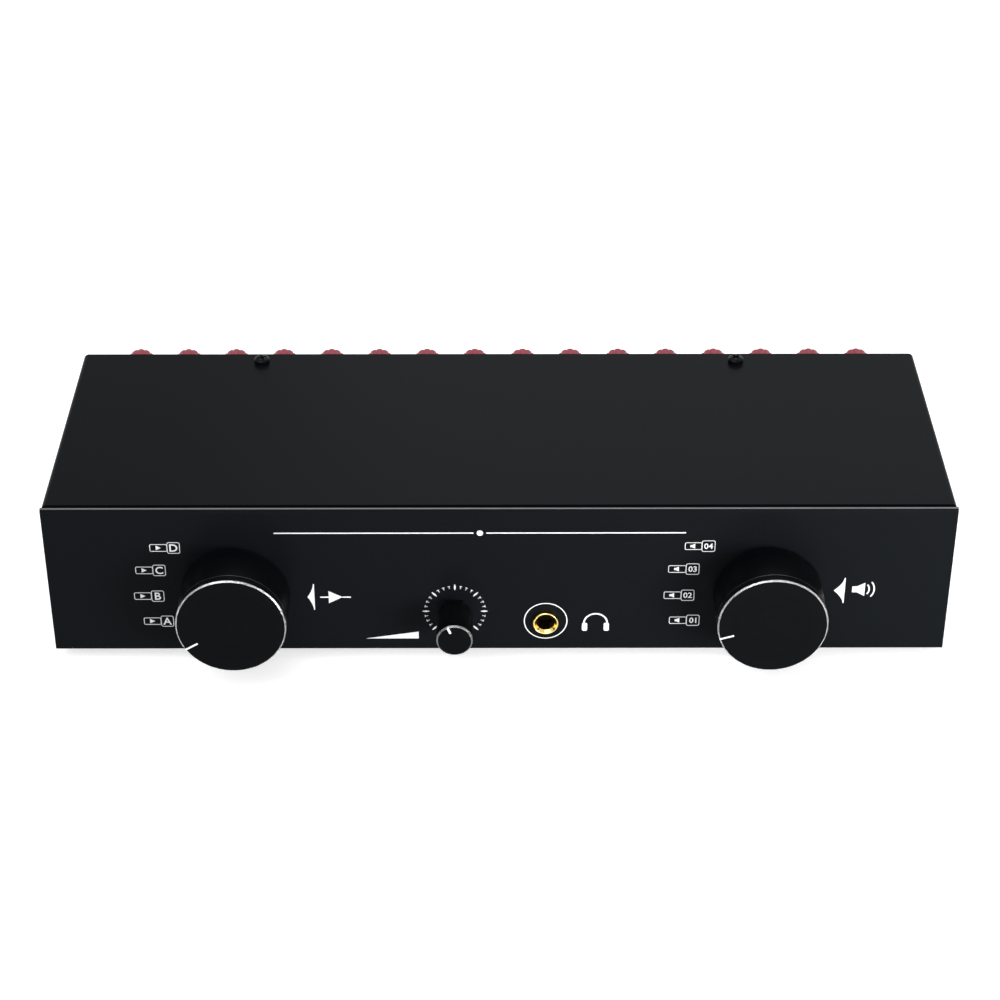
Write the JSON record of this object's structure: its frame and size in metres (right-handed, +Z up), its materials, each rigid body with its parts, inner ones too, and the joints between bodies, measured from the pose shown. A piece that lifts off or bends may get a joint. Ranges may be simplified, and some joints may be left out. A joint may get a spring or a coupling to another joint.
{
  "type": "speaker selector switch",
  "caption": "Low black metal switch box with two position knobs, a small volume knob and a headphone jack in front, and rows of binding posts behind.",
  "frame": {"origin": "centre of the case footprint, on the surface it stands on", "axes": "+X to the right seen from the front panel, +Y towards the rear panel, +Z up"},
  "size_m": [0.3248, 0.1519, 0.0677],
  "materials": {
    "black_powder_coat": "satin black with a fine texture",
    "black_anodised": "satin black with a bright cut edge",
    "black_steel": "blackened",
    "black_rubber": "matte",
    "black_moulding": "moulded",
    "red_cap": "moulded",
    "black_cap": "moulded",
    "yellow_brass": "polished",
    "nickel_plate": "nickel plated",
    "zinc_steel": "zinc plated",
    "silvered_brass": "silver plated",
    "brown_laminate": "paper laminate",
    "white_nylon": "moulded",
    "board_green": "lacquered",
    "white_cement": "cement body",
    "wire_jacket": "insulated wire"
  },
  "bodies": {
    "case": {"case_screws": "black_steel", "chassis": "black_powder_coat", "headphone_board": "board_green", "headphone_resistors": "white_cement", "index_housings": "zinc_steel", "jack_body": "black_moulding", "jack_contacts": "silvered_brass", "jack_ferrule": "yellow_brass", "panel_nuts": "nickel_plate", "post_studs": "nickel_plate", "rubber_feet": "black_rubber", "switch_tie_rods": "zinc_steel", "switch_wafers": "brown_laminate", "terminal_boards": "black_moulding", "top_cover": "black_powder_coat", "volume_pot": "zinc_steel", "wafer_lugs": "silvered_brass", "wiring": "wire_jacket"},
    "amp_selector": {"amp_knob": "black_anodised", "amp_knob_screw": "black_steel", "amp_shaft": "zinc_steel", "amp_rotors": "white_nylon"},
    "speaker_selector": {"speaker_knob": "black_anodised", "speaker_knob_screw": "black_steel", "speaker_shaft": "zinc_steel", "speaker_rotors": "white_nylon"},
    "volume_control": {"volume_knob": "black_anodised", "volume_shaft": "zinc_steel"},
    "cap_black_01": {"wire_clamp_black_01": "black_cap"},
    "cap_black_02": {"wire_clamp_black_02": "black_cap"},
    "cap_black_03": {"wire_clamp_black_03": "black_cap"},
    "cap_black_04": {"wire_clamp_black_04": "black_cap"},
    "cap_black_05": {"wire_clamp_black_05": "black_cap"},
    "cap_black_06": {"wire_clamp_black_06": "black_cap"},
    "cap_black_07": {"wire_clamp_black_07": "black_cap"},
    "cap_black_08": {"wire_clamp_black_08": "black_cap"},
    "cap_black_09": {"wire_clamp_black_09": "black_cap"},
    "cap_black_10": {"wire_clamp_black_10": "black_cap"},
    "cap_black_11": {"wire_clamp_black_11": "black_cap"},
    "cap_black_12": {"wire_clamp_black_12": "black_cap"},
    "cap_black_13": {"wire_clamp_black_13": "black_cap"},
    "cap_black_14": {"wire_clamp_black_14": "black_cap"},
    "cap_black_15": {"wire_clamp_black_15": "black_cap"},
    "cap_black_16": {"wire_clamp_black_16": "black_cap"},
    "cap_red_01": {"wire_clamp_red_01": "red_cap"},
    "cap_red_02": {"wire_clamp_red_02": "red_cap"},
    "cap_red_03": {"wire_clamp_red_03": "red_cap"},
    "cap_red_04": {"wire_clamp_red_04": "red_cap"},
    "cap_red_05": {"wire_clamp_red_05": "red_cap"},
    "cap_red_06": {"wire_clamp_red_06": "red_cap"},
    "cap_red_07": {"wire_clamp_red_07": "red_cap"},
    "cap_red_08": {"wire_clamp_red_08": "red_cap"},
    "cap_red_09": {"wire_clamp_red_09": "red_cap"},
    "cap_red_10": {"wire_clamp_red_10": "red_cap"},
    "cap_red_11": {"wire_clamp_red_11": "red_cap"},
    "cap_red_12": {"wire_clamp_red_12": "red_cap"},
    "cap_red_13": {"wire_clamp_red_13": "red_cap"},
    "cap_red_14": {"wire_clamp_red_14": "red_cap"},
    "cap_red_15": {"wire_clamp_red_15": "red_cap"},
    "cap_red_16": {"wire_clamp_red_16": "red_cap"}
  },
  "joints": [
    {"name": "amp_select", "type": "hinge", "parent": "case", "child": "amp_selector", "pos_m": [-0.0935, -0.055, 0.031], "axis": [0, 1, 0], "range_deg": [0, 67.5]},
    {"name": "speaker_select", "type": "hinge", "parent": "case", "child": "speaker_selector", "pos_m": [0.0952, -0.055, 0.031], "axis": [0, 1, 0], "range_deg": [0, 67.5]},
    {"name": "volume_turn", "type": "hinge", "parent": "case", "child": "volume_control", "pos_m": [-0.0158, -0.055, 0.022], "axis": [0, 1, 0], "range_deg": [-127, 173]},
    {"name": "wire_clamp_black_01", "type": "slide", "parent": "case", "child": "cap_black_01", "axis": [0, 1, 0], "range_m": [0, 0.005]},
    {"name": "wire_clamp_black_02", "type": "slide", "parent": "case", "child": "cap_black_02", "axis": [0, 1, 0], "range_m": [0, 0.005]},
    {"name": "wire_clamp_black_03", "type": "slide", "parent": "case", "child": "cap_black_03", "axis": [0, 1, 0], "range_m": [0, 0.005]},
    {"name": "wire_clamp_black_04", "type": "slide", "parent": "case", "child": "cap_black_04", "axis": [0, 1, 0], "range_m": [0, 0.005]},
    {"name": "wire_clamp_black_05", "type": "slide", "parent": "case", "child": "cap_black_05", "axis": [0, 1, 0], "range_m": [0, 0.005]},
    {"name": "wire_clamp_black_06", "type": "slide", "parent": "case", "child": "cap_black_06", "axis": [0, 1, 0], "range_m": [0, 0.005]},
    {"name": "wire_clamp_black_07", "type": "slide", "parent": "case", "child": "cap_black_07", "axis": [0, 1, 0], "range_m": [0, 0.005]},
    {"name": "wire_clamp_black_08", "type": "slide", "parent": "case", "child": "cap_black_08", "axis": [0, 1, 0], "range_m": [0, 0.005]},
    {"name": "wire_clamp_black_09", "type": "slide", "parent": "case", "child": "cap_black_09", "axis": [0, 1, 0], "range_m": [0, 0.005]},
    {"name": "wire_clamp_black_10", "type": "slide", "parent": "case", "child": "cap_black_10", "axis": [0, 1, 0], "range_m": [0, 0.005]},
    {"name": "wire_clamp_black_11", "type": "slide", "parent": "case", "child": "cap_black_11", "axis": [0, 1, 0], "range_m": [0, 0.005]},
    {"name": "wire_clamp_black_12", "type": "slide", "parent": "case", "child": "cap_black_12", "axis": [0, 1, 0], "range_m": [0, 0.005]},
    {"name": "wire_clamp_black_13", "type": "slide", "parent": "case", "child": "cap_black_13", "axis": [0, 1, 0], "range_m": [0, 0.005]},
    {"name": "wire_clamp_black_14", "type": "slide", "parent": "case", "child": "cap_black_14", "axis": [0, 1, 0], "range_m": [0, 0.005]},
    {"name": "wire_clamp_black_15", "type": "slide", "parent": "case", "child": "cap_black_15", "axis": [0, 1, 0], "range_m": [0, 0.005]},
    {"name": "wire_clamp_black_16", "type": "slide", "parent": "case", "child": "cap_black_16", "axis": [0, 1, 0], "range_m": [0, 0.005]},
    {"name": "wire_clamp_red_01", "type": "slide", "parent": "case", "child": "cap_red_01", "axis": [0, 1, 0], "range_m": [0, 0.005]},
    {"name": "wire_clamp_red_02", "type": "slide", "parent": "case", "child": "cap_red_02", "axis": [0, 1, 0], "range_m": [0, 0.005]},
    {"name": "wire_clamp_red_03", "type": "slide", "parent": "case", "child": "cap_red_03", "axis": [0, 1, 0], "range_m": [0, 0.005]},
    {"name": "wire_clamp_red_04", "type": "slide", "parent": "case", "child": "cap_red_04", "axis": [0, 1, 0], "range_m": [0, 0.005]},
    {"name": "wire_clamp_red_05", "type": "slide", "parent": "case", "child": "cap_red_05", "axis": [0, 1, 0], "range_m": [0, 0.005]},
    {"name": "wire_clamp_red_06", "type": "slide", "parent": "case", "child": "cap_red_06", "axis": [0, 1, 0], "range_m": [0, 0.005]},
    {"name": "wire_clamp_red_07", "type": "slide", "parent": "case", "child": "cap_red_07", "axis": [0, 1, 0], "range_m": [0, 0.005]},
    {"name": "wire_clamp_red_08", "type": "slide", "parent": "case", "child": "cap_red_08", "axis": [0, 1, 0], "range_m": [0, 0.005]},
    {"name": "wire_clamp_red_09", "type": "slide", "parent": "case", "child": "cap_red_09", "axis": [0, 1, 0], "range_m": [0, 0.005]},
    {"name": "wire_clamp_red_10", "type": "slide", "parent": "case", "child": "cap_red_10", "axis": [0, 1, 0], "range_m": [0, 0.005]},
    {"name": "wire_clamp_red_11", "type": "slide", "parent": "case", "child": "cap_red_11", "axis": [0, 1, 0], "range_m": [0, 0.005]},
    {"name": "wire_clamp_red_12", "type": "slide", "parent": "case", "child": "cap_red_12", "axis": [0, 1, 0], "range_m": [0, 0.005]},
    {"name": "wire_clamp_red_13", "type": "slide", "parent": "case", "child": "cap_red_13", "axis": [0, 1, 0], "range_m": [0, 0.005]},
    {"name": "wire_clamp_red_14", "type": "slide", "parent": "case", "child": "cap_red_14", "axis": [0, 1, 0], "range_m": [0, 0.005]},
    {"name": "wire_clamp_red_15", "type": "slide", "parent": "case", "child": "cap_red_15", "axis": [0, 1, 0], "range_m": [0, 0.005]},
    {"name": "wire_clamp_red_16", "type": "slide", "parent": "case", "child": "cap_red_16", "axis": [0, 1, 0], "range_m": [0, 0.005]}
  ]
}
